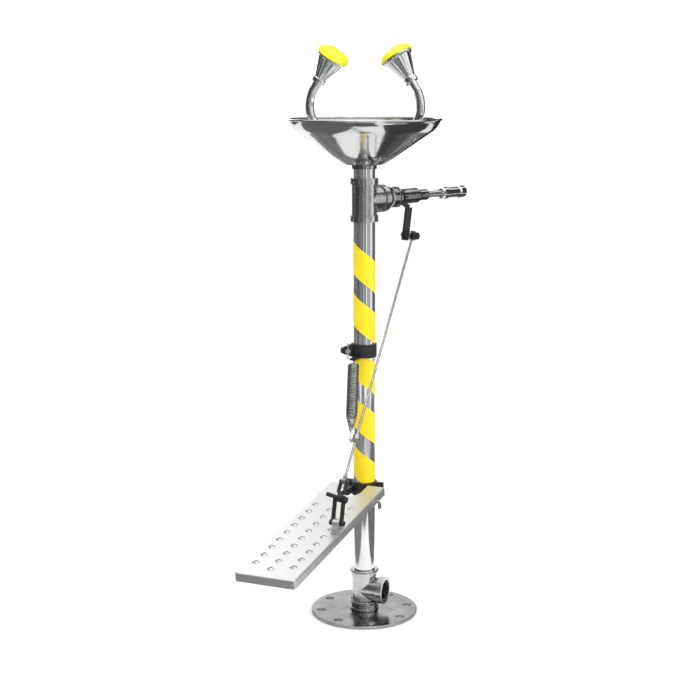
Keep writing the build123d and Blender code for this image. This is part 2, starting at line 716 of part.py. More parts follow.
def lug_place():
    """Place on the treadle's top under the lug; X is along the hinge and Z is off the tread."""
    return treadle_place() * Pos(FORK_PIN[0], -LUG_BACK, 0)


def link_ends():
    """Centres of the lug bolt and of the fork pin, in the lug's place."""
    pin = (lug_place().inverse() * Pos(FORK_AT)).position
    return Vector(0, 0, LUG_BOLT_Z), pin


def pedal_lug():
    """Stainless lug with a foot spot-fixed to the tread and a cheek for the two links."""
    wide, long, thick = LUG_FOOT
    foot = Pos(0, 0, thick / 2) * Box(wide, long, thick)
    block = box((-LINK_GAP / 2 + FIT, LINK_GAP / 2 - FIT), (-LUG_L / 2, LUG_L / 2), (0, LUG_H))
    block = fillet(block.edges().filter_by(Axis.X).group_by(Axis.Z)[-1], LUG_L / 2 - 1)
    hole = Pos(0, 0, LUG_BOLT_Z) * Rot(0, 90, 0) * Cylinder(CLAMP_BOLT_R + FIT, 4 * LINK_GAP)
    return lug_place() * (foot + block - hole)


def link_bars():
    """The two black bars that stand on the lug and carry the fork pin."""
    low, high = link_ends()
    way = high - low
    face = Plane(origin=low, x_dir=way.normalized(), z_dir=(1, 0, 0))
    slot = Pos(way.length / 2, 0) * SlotCenterToCenter(way.length, LINK_W)
    blank = extrude(face * slot, LINK_T)
    blank -= Pos(low) * Rot(0, 90, 0) * Cylinder(CLAMP_BOLT_R + FIT, 4 * LINK_GAP)
    bars = [lug_place() * Pos(x, 0, 0) * blank for x in (-LINK_GAP / 2 - LINK_T, LINK_GAP / 2)]
    hole = pin_place() * Cylinder(FORK_PIN_R + FIT, 4 * LINK_GAP)
    return Compound(children=[bar - hole for bar in bars])


def lug_bolt():
    """Bolt and nut through the lug and the feet of the links."""
    low = link_ends()[0]
    reach = LINK_GAP / 2 + LINK_T
    bolt = disc(CLAMP_BOLT_R, -reach - 1, reach + 5)
    bolt += Pos(0, 0, -reach - 4) * extrude(RegularPolygon(5.5, 6), 4)
    nut = hexagon(5.5, CLAMP_BOLT_R + FIT, reach, reach + 4)
    return lug_place() * Pos(low) * Rot(0, 90, 0) * Compound(children=[bolt, nut])


def fork_pin():
    """Long pin through the links; the fork turns on it."""
    slope = radians(PIN_TILT)
    face = (LINK_GAP / 2 + LINK_T + PIN_HEAD_R * sin(slope)) / cos(slope) + FIT
    return pin_place() * (disc(FORK_PIN_R, -PIN_LEFT, PIN_RIGHT) + disc(PIN_HEAD_R, face, PIN_RIGHT))


# ---------------------------------------------------------------- rod
def rod_fork():
    """Y-shaped fork: a hub on the long pin and two arms round the rod's lower end."""
    half = FORK_HUB_W / 2
    body = box((-half, half), (-FORK_ARM_W / 2, FORK_ARM_W / 2), (0, FORK_SPLIT))
    body += rod_place().inverse() * pin_place() * Cylinder(FORK_HUB_R, FORK_HUB_W)
    half = FORK_GAP / 2
    for side in (-1, 1):
        inner = side * half
        outer = side * (half + FORK_ARM_T)
        arm = box(sorted((inner, outer)), (-FORK_ARM_W / 2, FORK_ARM_W / 2), (FORK_SPLIT - 2, FORK_L))
        tip = Pos((inner + outer) / 2, 0, FORK_L) * Rot(0, 90, 0) * Cylinder(FORK_ARM_W / 2, FORK_ARM_T)
        body += arm + tip
    body -= Pos(0, 0, FORK_L) * Rot(0, 90, 0) * Cylinder(CROSS_PIN_R + FIT, 4 * FORK_GAP)
    return rod_place() * body - pin_place() * Cylinder(FORK_PIN_R + RUN, 4 * LINK_GAP)


def cross_pin():
    reach = FORK_GAP / 2 + FORK_ARM_T + 2
    return rod_place() * Pos(0, 0, FORK_L) * Rot(0, 90, 0) * disc(CROSS_PIN_R, -reach, reach)


def pull_rod():
    """Straight rod with a flat eye at its foot and a large loose eye on the lever's bolt."""
    foot = Pos(0, 0, FORK_L) * Rot(0, 90, 0) * Cylinder(ROD_END_R, FORK_GAP - 2 * FIT)
    shank = disc(ROD_R, FORK_L, ROD_L - BOLT_R - EYE_CLEAR - 0.8 * EYE_WALL)
    bore = Pos(0, 0, FORK_L) * Rot(0, 90, 0) * Cylinder(CROSS_PIN_R + FIT, 2 * FORK_GAP)
    body = rod_place() * (foot + shank - bore)
    eye = bolt_place() * disc(BOLT_R + EYE_CLEAR + EYE_WALL, EYE_S - EYE_T / 2, EYE_S + EYE_T / 2)
    hole = bolt_place() * disc(BOLT_R + EYE_CLEAR, EYE_S - EYE_T, EYE_S + EYE_T)
    return body + eye - hole


def rod_nut():
    low = FORK_L + ROD_END_R + 2
    return rod_place() * hexagon(ROD_NUT_R, ROD_R + FIT, low, low + 5)


def hook_distance():
    """Distance of the spring's ring from the fork pin, along the rod."""
    return HOOK_ALONG * ROD_L


def spring_collar():
    low = hook_distance() + LINK_WIRE_R + COLLAR_GAP
    return rod_place() * ring(COLLAR_R, ROD_R + FIT, low, low + COLLAR_L)


# ---------------------------------------------------------------- hinge clamp
def clamp_half(front):
    """Half of the clamp round the pole; the front half carries the two hinge ears."""
    way = -1 if front else 1
    low = CLAMP_Z - CLAMP_H / 2
    high = CLAMP_Z + CLAMP_H / 2
    outer = PIPE_R + FIT + CLAMP_T
    body = disc(outer, low, high)
    body += box((-outer - FLANGE_OUT, outer + FLANGE_OUT), sorted((0, way * (GAP + FLANGE_T))), (low, high))
    pivot = pivot_point()
    if front:
        for side in (-1, 1):
            span = sorted((side * EAR_X, side * (EAR_X + EAR_T)))
            body += box(span, (pivot.Y, -PIPE_R / 2), (pivot.Z - EAR_R, pivot.Z + EAR_R))
            ear = Pos((span[0] + span[1]) / 2, pivot.Y, pivot.Z)
            body += ear * Rot(0, 90, 0) * Cylinder(EAR_R, EAR_T)
    body -= disc(PIPE_R + FIT, low - 1, high + 1)
    body -= box((-200, 200), sorted((way * GAP, -way * 200)), (0, 500))
    body -= Pos(0, pivot.Y, pivot.Z) * Rot(0, 90, 0) * Cylinder(PIVOT_R + FIT, 80)
    for side in (-1, 1):
        spot = Pos(side * (outer + FLANGE_OUT / 2), 0, CLAMP_Z)
        body -= spot * Rot(90, 0, 0) * Cylinder(CLAMP_BOLT_R + FIT, 60)
    return body


def clamp_bolts():
    """The two bolts and nuts that draw the clamp's halves together."""
    face = GAP + FLANGE_T
    reach = PIPE_R + FIT + CLAMP_T + FLANGE_OUT / 2
    head = Pos(0, 0, face) * extrude(RegularPolygon(5.5, 6), 4)
    bolt = disc(CLAMP_BOLT_R, -face - 6, face) + head
    nut = hexagon(5.5, CLAMP_BOLT_R + FIT, -face - 4.5, -face)
    spots = [Pos(side * reach, 0, CLAMP_Z) * Rot(90, 0, 0) for side in (-1, 1)]
    return Compound(children=[spot * piece for spot in spots for piece in (bolt, nut)])


def pivot_rod():
    """Hinge rod through the ears and the skirts, with its right end bent down."""
    at = pivot_point()
    left = -PEDAL_W / 2 - 6
    right = PEDAL_W / 2 + PIVOT_OUT - PIVOT_R
    path = FilletPolyline((left, at.Y, at.Z), (right, at.Y, at.Z), (right, at.Y, at.Z - PIVOT_TAIL - PIVOT_R),
                          radius=1.4 * PIVOT_R)
    return sweep(Plane(origin=path @ 0, z_dir=path % 0) * Circle(PIVOT_R), path=path)


def pivot_sleeves():
    """Three spacer tubes on the pivot rod: between the ears and out to each skirt."""
    at = pivot_point()
    far = PEDAL_W / 2 - PEDAL_T - GAP
    near = EAR_X + EAR_T + FIT
    tubes = [ring(PIVOT_R + 1.6, PIVOT_R + FIT, -EAR_X + FIT, EAR_X - FIT)]
    tubes += [ring(PIVOT_R + 1.6, PIVOT_R + FIT, *sorted((side * near, side * far))) for side in (-1, 1)]
    return Pos(0, at.Y, at.Z) * Rot(0, 90, 0) * Compound(children=tubes)


def pivot_clip():
    at = pivot_point()
    low = -PEDAL_W / 2 - GAP - 1.5
    return Pos(0, at.Y, at.Z) * Rot(0, 90, 0) * ring(PIVOT_R + 3, PIVOT_R + FIT, low, low + 1.5)


# ---------------------------------------------------------------- return spring
def spring_clamp():
    """Split band round the pole, with two ears for its bolt and a lug for the spring."""
    inner = PIPE_R + 2 * FIT + TAPE_T
    outer = inner + SPRING_CLAMP_T
    half = SPRING_CLAMP_H / 2
    band = ring(outer, inner, -half, half)
    tip = SPRING_EAR_TIP / 2
    far = outer + SPRING_EAR_L
    outline = Polyline((inner, 0, -half), (outer, 0, -half), (far, 0, -tip), (far, 0, tip),
                       (outer, 0, half), (inner, 0, half), close=True)
    ears = extrude(make_face(outline), SPRING_SPLIT / 2 + SPRING_CLAMP_T, both=True)
    split = box((0, 2 * far), (-SPRING_SPLIT / 2, SPRING_SPLIT / 2), (-half - 1, half + 1))
    hole = Pos(outer + SPRING_EAR_L / 2, 0, 0) * Rot(90, 0, 0) * Cylinder(CLAMP_BOLT_R + FIT, SPRING_CLAMP_H)
    body = Rot(0, 0, SPRING_EAR_AZIMUTH) * (band + ears - split - hole)
    body -= disc(inner, -half - 1, half + 1)
    reach = -SPRING_TOP[1] + 6
    x = SPRING_TOP[0]
    lug = box((x - SPRING_LUG_W / 2, x + SPRING_LUG_W / 2), (-reach, -inner - 1), (-half, -half + SPRING_LUG_T))
    lug -= Pos(x, SPRING_TOP[1], -half) * Cylinder(2.6, 20)
    return Pos(0, 0, SPRING_CLAMP_Z) * (body + lug)


def spring_clamp_place():
    """Place on the clamp's bolt axis, whose Z runs along the bolt."""
    reach = PIPE_R + 2 * FIT + TAPE_T + SPRING_CLAMP_T + SPRING_EAR_L / 2
    return Pos(0, 0, SPRING_CLAMP_Z) * Rot(0, 0, SPRING_EAR_AZIMUTH) * Pos(reach, 0, 0) * Rot(90, 0, 0)


def spring_clamp_bolt():
    face = SPRING_SPLIT / 2 + SPRING_CLAMP_T
    bolt = disc(CLAMP_BOLT_R, -face - 9, face)
    return spring_clamp_place() * (bolt + Pos(0, 0, face) * extrude(RegularPolygon(5.5, 6), 4))


def wing_nut():
    face = SPRING_SPLIT / 2 + SPRING_CLAMP_T
    hub = ring(5, CLAMP_BOLT_R + FIT, -face - 7, -face)
    for side in (-1, 1):
        hub += Pos(0, side * 9, -face - 7.5) * Rot(-side * 25, 0, 0) * Box(2, 13, 8)
    return spring_clamp_place() * (hub - disc(CLAMP_BOLT_R + FIT, -face - 20, -face + 1))


def hook_point():
    """Foot of the spring, beside the ring that it pulls on."""
    beside = LINK_RING_R + LINK_WIRE_R + GAP + SPRING_TIP_R
    return (rod_place() * Pos(-beside, 0, hook_distance())).position


def spring_place():
    """Place at the spring's upper end whose Z runs down the spring."""
    top = Vector(*SPRING_TOP)
    return Plane(origin=top, z_dir=hook_point() - top).location


def spring_length():
    return (hook_point() - Vector(*SPRING_TOP)).length


def return_spring():
    """Close-wound spring as a hollow coil body that narrows to its lower hook."""
    length = spring_length()
    coil = length * SPRING_COIL_SHARE
    neck = length * 0.92
    bore = SPRING_R - 2.2
    body = turned([
        (0, 4), (SPRING_TIP_R, 4), (SPRING_TIP_R, 10), (SPRING_R, 13), (SPRING_R, coil),
        (SPRING_TIP_R, neck), (SPRING_TIP_R, length), (0, length), (0, neck - 4),
        (bore, coil - 3), (bore, 16), (0, 13),
    ])
    return spring_place() * body


def spring_link():
    """Wire ring round the rod that the spring's lower hook pulls on."""
    return rod_place() * Pos(0, 0, hook_distance()) * Torus(LINK_RING_R, LINK_WIRE_R)


# ---------------------------------------------------------------- everything, by name
NODES = {
    "base_flange": base_flange,
    "drain_tee": drain_tee,
    "main_pipe": main_pipe,
    "supply_tee": supply_tee,
    "marking_tape": marking_tape,
    "bowl": bowl,
    "bowl_waste": bowl_waste,
    "bowl_gasket": bowl_gasket,
    "bowl_locknut": bowl_locknut,
    "drain_strainer": drain_strainer,
    "supply_riser": supply_riser,
    "nozzle_manifold": nozzle_manifold,
    "arm_nuts": arm_nuts,
    "filter_screens": filter_screens,
    "spray_plates": spray_plates,
    "branch_bush": branch_bush,
    "union_tail": union_tail,
    "union_end": union_end,
    "union_nut": union_nut,
    "valve_body": valve_body,
    "valve_seals": valve_seals,
    "valve_end_cap": valve_end_cap,
    "packing_nut": packing_nut,
    "valve_ball": valve_ball,
    "valve_stem": valve_stem,
    "inlet_adapter": inlet_adapter,
    "inlet_pipe": inlet_pipe,
    "inlet_coupling": inlet_coupling,
    "lever_arm": lever_arm,
    "lever_spacers": lever_spacers,
    "lever_nuts": lever_nuts,
    "rod_bolt": rod_bolt,
    "bolt_washers": bolt_washers,
    "pedal_plate": pedal_plate,
    "pedal_lug": pedal_lug,
    "link_bars": link_bars,
    "lug_bolt": lug_bolt,
    "fork_pin": fork_pin,
    "rod_fork": rod_fork,
    "cross_pin": cross_pin,
    "pull_rod": pull_rod,
    "rod_nut": rod_nut,
    "spring_collar": spring_collar,
    "hinge_clamp_front": lambda: clamp_half(True),
    "hinge_clamp_rear": lambda: clamp_half(False),
    "clamp_bolts": clamp_bolts,
    "pivot_rod": pivot_rod,
    "pivot_sleeves": pivot_sleeves,
    "pivot_clip": pivot_clip,
    "spring_clamp": spring_clamp,
    "spring_clamp_bolt": spring_clamp_bolt,
    "wing_nut": wing_nut,
    "return_spring": return_spring,
    "spring_link": spring_link,
}
for name, side in (("left", -1), ("right", 1)):
    NODES[f"nozzle_arm_{name}"] = lambda side=side: nozzle_arm(side)
    NODES[f"nozzle_cone_{name}"] = lambda side=side: nozzle_cone(side)
    NODES[f"dust_cap_{name}"] = lambda side=side: dust_cap(side)

os.makedirs("parts", exist_ok=True)
for name, make in NODES.items():
    export_step(make(), f"parts/{name}.step")
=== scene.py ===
"""Looks of a pedestal eyewash station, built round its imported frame.

Every length is in metres. +Z is up, the user stands at -Y, and the origin is under the base flange.
"""

import json
import math

import bpy
from bpy.props import FloatProperty, FloatVectorProperty, IntProperty, PointerProperty
from mathutils import Matrix, Vector


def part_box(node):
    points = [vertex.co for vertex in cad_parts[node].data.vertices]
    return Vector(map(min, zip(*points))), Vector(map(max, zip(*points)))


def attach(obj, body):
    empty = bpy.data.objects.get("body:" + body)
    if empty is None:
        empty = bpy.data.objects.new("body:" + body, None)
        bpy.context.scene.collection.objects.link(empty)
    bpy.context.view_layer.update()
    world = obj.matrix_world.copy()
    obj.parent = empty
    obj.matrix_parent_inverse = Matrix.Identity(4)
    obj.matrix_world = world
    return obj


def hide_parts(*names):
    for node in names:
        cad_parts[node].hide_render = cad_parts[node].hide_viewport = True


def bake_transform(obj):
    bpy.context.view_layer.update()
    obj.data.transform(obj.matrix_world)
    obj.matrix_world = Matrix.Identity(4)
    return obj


bl_info = {
    "name": "Eyewash Station Looks",
    "version": (1, 0, 0),
    "blender": (4, 5, 0),
    "location": "View3D > Sidebar > Eyewash",
    "description": "Builds the visible pieces, finishes and stage of a pedestal eyewash station",
    "category": "Object",
}

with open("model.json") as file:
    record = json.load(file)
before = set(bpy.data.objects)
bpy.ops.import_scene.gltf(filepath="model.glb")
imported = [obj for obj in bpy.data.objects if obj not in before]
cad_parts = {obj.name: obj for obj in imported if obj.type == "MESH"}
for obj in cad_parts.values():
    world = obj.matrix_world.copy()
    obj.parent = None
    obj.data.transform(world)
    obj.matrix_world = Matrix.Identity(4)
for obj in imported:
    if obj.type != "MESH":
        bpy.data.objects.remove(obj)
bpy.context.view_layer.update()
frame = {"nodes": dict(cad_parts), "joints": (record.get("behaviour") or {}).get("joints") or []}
NODES = frame["nodes"]
JOINTS = {joint["name"]: joint for joint in frame["joints"]}
MM = 0.001
UP = Vector((0, 0, 1))


LOOSE = 0.05 * MM       # gap of a pipe in the piece that it passes through


# ---------------------------------------------------------------- sizes and colours a user may change
class EyewashSizes(bpy.types.PropertyGroup):
    """Sizes of the pieces that are modelled here."""

    bowl_floor: FloatProperty(
        name="Bowl floor radius", description="Radius of the bowl's flat floor",
        default=0.0395, subtype="DISTANCE", unit="LENGTH")
    bowl_wall: FloatProperty(
        name="Bowl wall", description="Thickness of the spun bowl",
        default=0.0012, subtype="DISTANCE", unit="LENGTH")
    round_steps: IntProperty(
        name="Round steps", description="Faces round a turned piece", default=128, min=24)
    spring_wire: FloatProperty(
        name="Spring wire", description="Diameter of the return spring's wire",
        default=0.0027, subtype="DISTANCE", unit="LENGTH")
    spring_radius: FloatProperty(
        name="Spring radius", description="Outer radius of the return spring's close coils",
        default=0.0112, subtype="DISTANCE", unit="LENGTH")


class EyewashColours(bpy.types.PropertyGroup):
    """Base colours of the finishes."""

    cap: FloatVectorProperty(
        name="Cap", description="Colour of the plastic dust caps", subtype="COLOR",
        size=3, min=0, max=1, default=(0.86, 0.82, 0.005))
    tape: FloatVectorProperty(
        name="Tape", description="Colour of the warning tape", subtype="COLOR",
        size=3, min=0, max=1, default=(0.90, 0.66, 0.0))
    steel: FloatVectorProperty(
        name="Steel", description="Colour of the polished steel", subtype="COLOR",
        size=3, min=0, max=1, default=(0.52, 0.53, 0.53))
    coat: FloatVectorProperty(
        name="Coat", description="Colour of the black coated fittings", subtype="COLOR",
        size=3, min=0, max=1, default=(0.018, 0.019, 0.02))


# ---------------------------------------------------------------- modelling helpers
def deselect():
    """Leaves edit mode and selects nothing."""
    if bpy.context.mode != "OBJECT":
        bpy.ops.object.mode_set(mode="OBJECT")
    bpy.ops.object.select_all(action="DESELECT")


def active(piece):
    """Makes one piece the only selected and active one."""
    deselect()
    piece.select_set(True)
    bpy.context.view_layer.objects.active = piece


def settle(piece, place=None):
    """Moves a piece to its place and puts that place in its mesh."""
    active(piece)
    if place is not None:
        piece.matrix_world = place @ piece.matrix_world
    bpy.ops.object.transform_apply(location=True, rotation=True, scale=True)


def smooth(piece, degrees):
    """Shades a piece smooth across edges that turn by less than the given angle."""
    active(piece)
    bpy.ops.object.shade_smooth_by_angle(angle=math.radians(degrees))


def rounded(corners, steps):
    """Outline points from (radius, height, bend) corners; a bend above 0 rounds its corner with an arc."""
    points = []
    count = len(corners)
    for index, (x, z, bend) in enumerate(corners):
        here = Vector((x, z))
        if bend <= 0 or index in (0, count - 1):
            points.append((x, z))
            continue
        before = Vector(corners[index - 1][:2]) - here
        after = Vector(corners[index + 1][:2]) - here
        half = before.angle(after) / 2
        reach = min(bend / math.tan(half), 0.49 * before.length, 0.49 * after.length)
        start = here + before.normalized() * reach
        end = here + after.normalized() * reach
        for step in range(steps + 1):
            t = step / steps
            point = start * (1 - t) ** 2 + here * 2 * t * (1 - t) + end * t ** 2
            points.append((point.x, point.y))
    return points


def lathe(name, outline, segments):
    """Turned piece about Z: a ring, extruded and resized along a closed line of (radius, height) points."""
    tiny = 1e-5
    outline = [(max(radius, tiny), height) for radius, height in outline]
    outline += outline[:1]
    deselect()
    radius, height = outline[0]
    bpy.ops.mesh.primitive_circle_add(vertices=segments, radius=radius, location=(0, 0, height))
    piece = bpy.context.active_object
    piece.name = name
    settle(piece)
    bpy.ops.object.mode_set(mode="EDIT")
    bpy.ops.mesh.select_all(action="SELECT")
    for next_radius, next_height in outline[1:]:
        bpy.ops.mesh.extrude_region_move(TRANSFORM_OT_translate={"value": (0, 0, next_height - height)})
        share = next_radius / radius
        bpy.ops.transform.resize(value=(share, share, 1), center_override=(0, 0, next_height))
        radius, height = next_radius, next_height
    bpy.ops.mesh.select_all(action="SELECT")
    bpy.ops.mesh.remove_doubles(threshold=3 * tiny)
    bpy.ops.mesh.select_all(action="SELECT")
    bpy.ops.mesh.normals_make_consistent(inside=False)
    bpy.ops.object.mode_set(mode="OBJECT")
    return piece


def wears(piece, body, slot, material, *replaced):
    """Gives a piece its body and material, and hides the CAD nodes that it stands for. The slot is not used.
    """
    piece.data.materials.clear()
    piece.data.materials.append(material)
    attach(piece, body)
    if replaced:
        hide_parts(*replaced)


# ---------------------------------------------------------------- finishes
def node(tree, kind, **values):
    """Adds a shader node and sets its properties."""
    made = tree.nodes.new(kind)
    for name, value in values.items():
        setattr(made, name, value)
    return made


def finish(name, colour, metal, rough, spread=0.05, grain=300, stretch=(1, 1, 1), depth=0.02,
           mottle=0.08, patch=25, coat=0, tint=None):
    """Procedural finish: mottled colour, uneven gloss and a fine grain that may run one way."""
    material = bpy.data.materials.get(name)
    if material:
        return material
    material = bpy.data.materials.new(name)
    material.use_nodes = True
    tree = material.node_tree
    link = tree.links.new
    shader = tree.nodes["Principled BSDF"]
    shader.inputs["Metallic"].default_value = metal
    shader.inputs["Coat Weight"].default_value = coat
    shader.inputs["Coat Roughness"].default_value = 0.08
    place = node(tree, "ShaderNodeTexCoord")
    mapping = node(tree, "ShaderNodeMapping")
    mapping.inputs["Scale"].default_value = stretch
    link(place.outputs["Object"], mapping.inputs["Vector"])
    fine = node(tree, "ShaderNodeTexNoise")
    fine.inputs["Scale"].default_value = grain
    fine.inputs["Detail"].default_value = 4
    link(mapping.outputs["Vector"], fine.inputs["Vector"])
    broad = node(tree, "ShaderNodeTexNoise")
    broad.inputs["Scale"].default_value = patch
    broad.inputs["Detail"].default_value = 6
    link(place.outputs["Object"], broad.inputs["Vector"])
    ramp = node(tree, "ShaderNodeValToRGB")
    dark = [c * (1 - mottle) for c in colour]
    light = tint or [min(c * (1 + mottle), 1) for c in colour]
    ramp.color_ramp.elements[0].position = 0.3
    ramp.color_ramp.elements[1].position = 0.7
    ramp.color_ramp.elements[0].color = (*dark, 1)
    ramp.color_ramp.elements[1].color = (*light, 1)
    link(broad.outputs["Fac"], ramp.inputs["Fac"])
    link(ramp.outputs["Color"], shader.inputs["Base Color"])
    gloss = node(tree, "ShaderNodeMapRange")
    gloss.inputs["From Min"].default_value = 0.3
    gloss.inputs["From Max"].default_value = 0.7
    gloss.inputs["To Min"].default_value = max(rough - spread, 0.02)
    gloss.inputs["To Max"].default_value = rough + spread
    link(fine.outputs["Fac"], gloss.inputs["Value"])
    link(gloss.outputs["Result"], shader.inputs["Roughness"])
    bump = node(tree, "ShaderNodeBump")
    bump.inputs["Strength"].default_value = 0.35
    bump.inputs["Distance"].default_value = depth * MM
    link(fine.outputs["Fac"], bump.inputs["Height"])
    link(bump.outputs["Normal"], shader.inputs["Normal"])
    return material


def finishes():
    """All finishes by name."""
    colours = bpy.context.scene.eyewash_colours
    steel = tuple(colours.steel)
    coat = tuple(colours.coat)
    return {
        "polished": finish("polished_steel", steel, 1, 0.13, 0.05, 180, (1, 1, 0.15), 0.05, 0.10, 18),
        "fitting": finish("cast_steel", (0.38, 0.385, 0.385), 1, 0.17, 0.08, 240, (1, 1, 1), 0.18, 0.16, 60),
        "tee": finish("tee_steel", (0.56, 0.565, 0.565), 1, 0.23, 0.07, 200, (1, 1, 1), 0.15, 0.14, 50),
        "flange": finish("flange_steel", (0.33, 0.335, 0.335), 1, 0.20, 0.08, 60, (1, 1, 1), 0.25, 0.22, 22),
        "bowl": finish("bowl_steel", (0.60, 0.61, 0.61), 1, 0.12, 0.04, 90, (1, 1, 6), 0.05, 0.06, 14),
        "brushed": finish("brushed_steel", (0.40, 0.41, 0.41), 1, 0.34, 0.14, 520, (1, 0.10, 1), 0.12, 0.16,
                          70),
        "chrome": finish("chrome", (0.80, 0.81, 0.82), 1, 0.07, 0.03, 120, (1, 1, 1), 0.02, 0.05, 40),
        "coat": finish("black_coat", coat, 0.1, 0.42, 0.12, 700, (1, 1, 1), 0.12, 0.25, 90,
                       tint=(0.045, 0.046, 0.047)),
        "zinc": finish("zinc_wire", (0.42, 0.42, 0.40), 1, 0.28, 0.10, 500, (1, 1, 1), 0.05, 0.2, 120),
        "cap": finish("cap_plastic", tuple(colours.cap), 0, 0.30, 0.06, 900, (1, 1, 1), 0.03, 0.05, 60,
                      coat=0.25),
        "tape": finish("warning_tape", tuple(colours.tape), 0, 0.42, 0.08, 260, (1, 1, 1), 0.08, 0.05, 45),
        "rubber": finish("gasket_rubber", (0.02, 0.02, 0.02), 0, 0.7, 0.1, 600, (1, 1, 1), 0.1, 0.3, 80),
        "seat": finish("seat_plastic", (0.85, 0.85, 0.82), 0, 0.4, 0.1, 600, (1, 1, 1), 0.03, 0.05, 80),
        "spray": finish("spray_plastic", (0.62, 0.63, 0.63), 0, 0.35, 0.08, 600, (1, 1, 1), 0.03, 0.05, 80),
    }


NODE_FINISHES = {
    "polished": ("main_pipe", "bowl_waste", "drain_strainer", "supply_riser", "inlet_pipe"),
    "flange": ("base_flange",),
    "tee": ("drain_tee", "supply_tee"),
    "fitting": ("branch_bush", "union_tail", "union_end", "union_nut", "valve_body",
                "valve_end_cap", "packing_nut", "inlet_adapter", "bowl_locknut"),
    "bowl": ("bowl",),
    "brushed": ("pedal_plate", "pedal_lug", "pivot_sleeves"),
    "chrome": ("nozzle_manifold", "arm_nuts", "nozzle_arm_left", "nozzle_arm_right", "nozzle_cone_left",
               "nozzle_cone_right", "inlet_coupling", "filter_screens", "valve_ball", "valve_stem"),
    "coat": ("lever_arm", "link_bars", "rod_fork", "hinge_clamp_front", "hinge_clamp_rear", "spring_clamp",
             "lever_spacers", "lug_bolt", "fork_pin", "rod_bolt", "bolt_washers", "lever_nuts"),
    "zinc": ("pull_rod", "rod_nut", "spring_collar", "clamp_bolts", "spring_clamp_bolt", "wing_nut",
             "return_spring", "spring_link", "cross_pin", "pivot_rod", "pivot_clip"),
    "cap": ("dust_cap_left", "dust_cap_right"),
    "tape": ("marking_tape",),
    "rubber": ("bowl_gasket",),
    "seat": ("valve_seals",),
    "spray": ("spray_plates",),
}


class EYEWASH_OT_frame_finishes(bpy.types.Operator):
    """Give every node of the frame its finish"""

    bl_idname = "eyewash.frame_finishes"
    bl_label = "Finish Frame Nodes"

    def execute(self, context):
        made = finishes()
        left = set(NODES)
        for name, members in NODE_FINISHES.items():
            for member in members:
                piece = NODES[member]
                piece.data.materials.clear()
                piece.data.materials.append(made[name])
                left.discard(member)
        if left:
            raise RuntimeError(f"nodes without a finish: {sorted(left)}")
        return {"FINISHED"}


# ---------------------------------------------------------------- bowl
RIM_BEAD = 2.2 * MM
BEAD_STEPS = 13
BEAD_START = -60        # where the rolled rim leaves the wall
WASTE_HOLE = 21.2 * MM + LOOSE
WASTE_SEAT = 12 * MM    # flat ring round the waste hole
# wall of the bowl above its floor, as shares of its radius and depth
BOWL_WALL = ((0.473, 0.24), (0.67, 0.476), (0.8, 0.63), (0.912, 0.765), (0.972, 0.895), (1, 1))


def through(points, steps):
    """Smooth curve through (x, z) points, as points evenly shared between them."""
    knots = [Vector(point) for point in points]
    knots = [2 * knots[0] - knots[1]] + knots + [2 * knots[-1] - knots[-2]]
    path = []
    for index in range(1, len(knots) - 2):
        a, b, c, d = knots[index - 1:index + 3]
        for step in range(steps):
            t = step / steps
            path.append(0.5 * (2 * b + (c - a) * t + (2 * a - 5 * b + 4 * c - d) * t ** 2
                               + (3 * b - a - 3 * c + d) * t ** 3))
    path.append(knots[-2])
    return path


class EYEWASH_OT_bowl(bpy.types.Operator):
    """Spin the bowl with its rolled rim"""

    bl_idname = "eyewash.bowl"
    bl_label = "Bowl"

    def execute(self, context):
        sizes = context.scene.eyewash_sizes
        low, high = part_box("bowl")
        rim_radius = high.x - RIM_BEAD
        rim = high.z - RIM_BEAD
        floor = low.z
        wall = sizes.bowl_wall
        seat = WASTE_HOLE + WASTE_SEAT
        outer = through([(share * rim_radius, floor + rise * (rim - floor)) for share, rise in BOWL_WALL], 6)
        outer = [Vector((sizes.bowl_floor, floor))] + outer
        outline = [(WASTE_HOLE, floor), (seat, floor)]
        outline += [(point.x, point.y) for point in outer[:-1]]
        for step in range(BEAD_STEPS):
            turn = math.radians(BEAD_START + 300 * step / (BEAD_STEPS - 1))
            outline.append((rim_radius + RIM_BEAD * math.cos(turn), rim + RIM_BEAD * math.sin(turn)))
        inner = []
        for index in range(1, len(outer) - 1):
            way = (outer[index + 1] - outer[index - 1]).normalized()
            inner.append((outer[index].x - way.y * wall, outer[index].y + way.x * wall))
        outline += inner[::-1][1:]
        outline += [(radius, floor + wall) for radius in (sizes.bowl_floor, seat, WASTE_HOLE)]
        piece = lathe("bowl_shell", outline, sizes.round_steps)
        smooth(piece, 40)
        wears(piece, "stand", "polished_steel", finishes()["bowl"], "bowl")
        return {"FINISHED"}


# ---------------------------------------------------------------- spray heads
HEAD_BASE = Vector((95, 0, 1062)) * MM
HEAD_MOUTH = 29.5 * MM
HEAD_LENGTH = 54 * MM
HEAD_BAND = 6 * MM
HEAD_WALL = 1.5 * MM
HEAD_SHOULDER = 26.4 * MM
COLLAR = 13 * MM
COLLAR_HALF = 4.5 * MM
THROAT = 7.1 * MM
ARM_RADIUS = 8.25 * MM


def head_place(side):
    """Place at the lower end of a spray head whose Z leans towards the middle."""
    name = "cap_left_lift" if side < 0 else "cap_right_lift"
    lean = Vector(JOINTS[name]["axis"])
    turn = UP.rotation_difference(lean).to_matrix().to_4x4()
    return Matrix.Translation((side * HEAD_BASE.x, 0, HEAD_BASE.z)) @ turn


